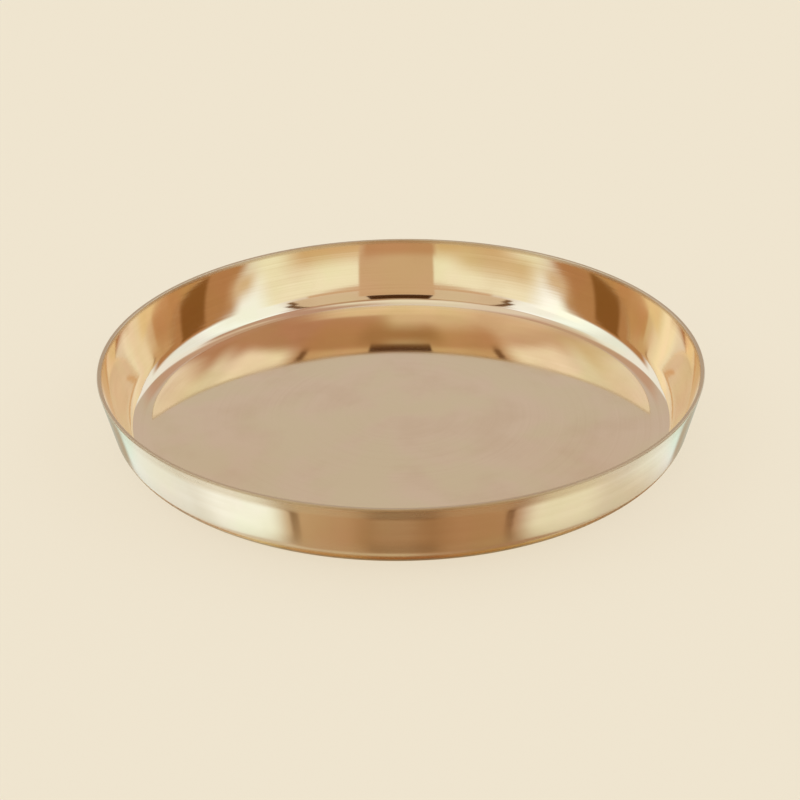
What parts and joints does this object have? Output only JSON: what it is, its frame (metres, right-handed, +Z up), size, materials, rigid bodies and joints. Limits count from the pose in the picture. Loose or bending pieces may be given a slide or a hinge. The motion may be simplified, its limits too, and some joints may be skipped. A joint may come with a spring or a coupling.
{
  "type": "thali plate",
  "caption": "Round, shallow bronze serving dish with a flat floor, a rounded bend, a low outward-leaning wall and a plain turned rim.",
  "frame": {"origin": "middle of the flat underside, on the table", "axes": "+Z up, square to the floor and through the middle of the rim; the dish is round, so +X and +Y are any two directions along the table, and the picture looks along +Y"},
  "size_m": [0.3, 0.3, 0.0355],
  "materials": {
    "polished_bronze": "turned and polished to a mirror"
  },
  "bodies": {
    "root": {"dish": "polished_bronze"}
  },
  "joints": []
}
